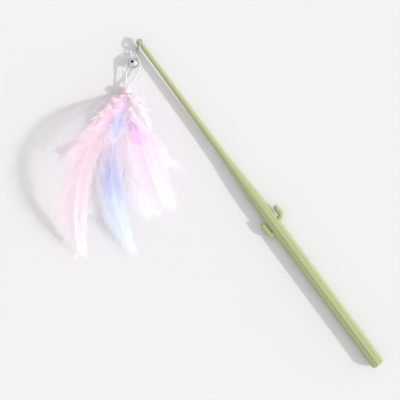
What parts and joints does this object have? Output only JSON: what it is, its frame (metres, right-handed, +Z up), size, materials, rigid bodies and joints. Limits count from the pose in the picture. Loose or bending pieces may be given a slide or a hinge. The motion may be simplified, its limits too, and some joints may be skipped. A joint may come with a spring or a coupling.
{
  "type": "cat teaser wand",
  "caption": "Cactus-shaped plastic pet wand with a ribbed grip and side arms; a clip-on lure of jingle bell, white cord loops and pastel feathers hangs from its tip.",
  "frame": {"origin": "centre of the footprint on the floor that the toy lies on", "axes": "+X along the stick from grip to tip, +Y from the stick to the lure, +Z up from the floor"},
  "size_m": [0.4052, 0.1896, 0.0365],
  "materials": {
    "stick_green": "satin moulded",
    "clasp_metal": "bright nickel plate",
    "ring_metal": "bright nickel plate",
    "bell_metal": "bright nickel plate",
    "spring_steel": "plain",
    "cord_white": "twisted cord",
    "wrap_pink": "wound tape",
    "glue_clear": "set glue",
    "feather_pink": "downy",
    "feather_blue": "downy",
    "feather_pale": "downy",
    "plume_magenta": "downy",
    "plume_lilac": "downy"
  },
  "bodies": {
    "wand": {"wand_stick": "stick_green"},
    "clasp": {"clasp_body": "clasp_metal", "clasp_rivet": "clasp_metal", "clasp_spring": "spring_steel"},
    "trigger": {"clasp_trigger": "clasp_metal"},
    "ring": {"jump_ring": "ring_metal"},
    "bell": {"bell_top_shell": "bell_metal", "bell_bottom_shell": "bell_metal", "bell_loop": "bell_metal"},
    "pellet": {"bell_pellet": "spring_steel"},
    "lure": {"cord_loop_right": "cord_white", "cord_loop_left": "cord_white", "collar_wrap": "wrap_pink", "quill_plug": "glue_clear", "feather_pink_sweep": "feather_pink", "feather_blue_long": "feather_blue", "feather_pink_right": "feather_pink", "feather_pink_outer": "feather_pink", "feather_ice_right": "feather_blue", "feather_ice_left": "feather_pale", "feather_pink_short": "feather_pink", "plume_magenta": "plume_magenta", "plume_blush": "feather_pink", "plume_lilac": "plume_lilac", "plume_rose": "plume_magenta"}
  },
  "joints": [
    {"name": "clasp_swing", "type": "hinge", "parent": "wand", "child": "clasp", "pos_m": [0.1994, -0.08106, 0.0065], "axis": [0, 0, 1], "range_deg": [-260, 10]},
    {"name": "trigger_pivot", "type": "hinge", "parent": "clasp", "child": "trigger", "pos_m": [0.19521, -0.07571, 0.00693], "axis": [0.7869, 0.617, 0], "range_deg": [0, 20], "stiffness_Nm_per_rad": 0.001, "springref_deg": -28.65, "deforming": ["clasp_spring"]},
    {"name": "ring_tilt", "type": "hinge", "parent": "clasp", "child": "ring", "pos_m": [0.19401, -0.07418, 0.0055], "axis": [-0.7869, -0.617, 0], "range_deg": [-45, 45]},
    {"name": "bell_swing", "type": "hinge", "parent": "ring", "child": "bell", "pos_m": [0.19092, -0.07024, 0.0055], "axis": [-0.7869, -0.617, 0], "range_deg": [-60, 60]},
    {"name": "pellet_roll", "type": "hinge", "parent": "bell", "child": "pellet", "pos_m": [0.18598, -0.06395, 0.0055], "axis": [-0.617, 0.7869, 0], "range_deg": [-100, 100]},
    {"name": "lure_swing", "type": "hinge", "parent": "ring", "child": "lure", "pos_m": [0.19092, -0.07024, 0.0055], "axis": [-0.7869, -0.617, 0], "range_deg": [-60, 60]}
  ]
}
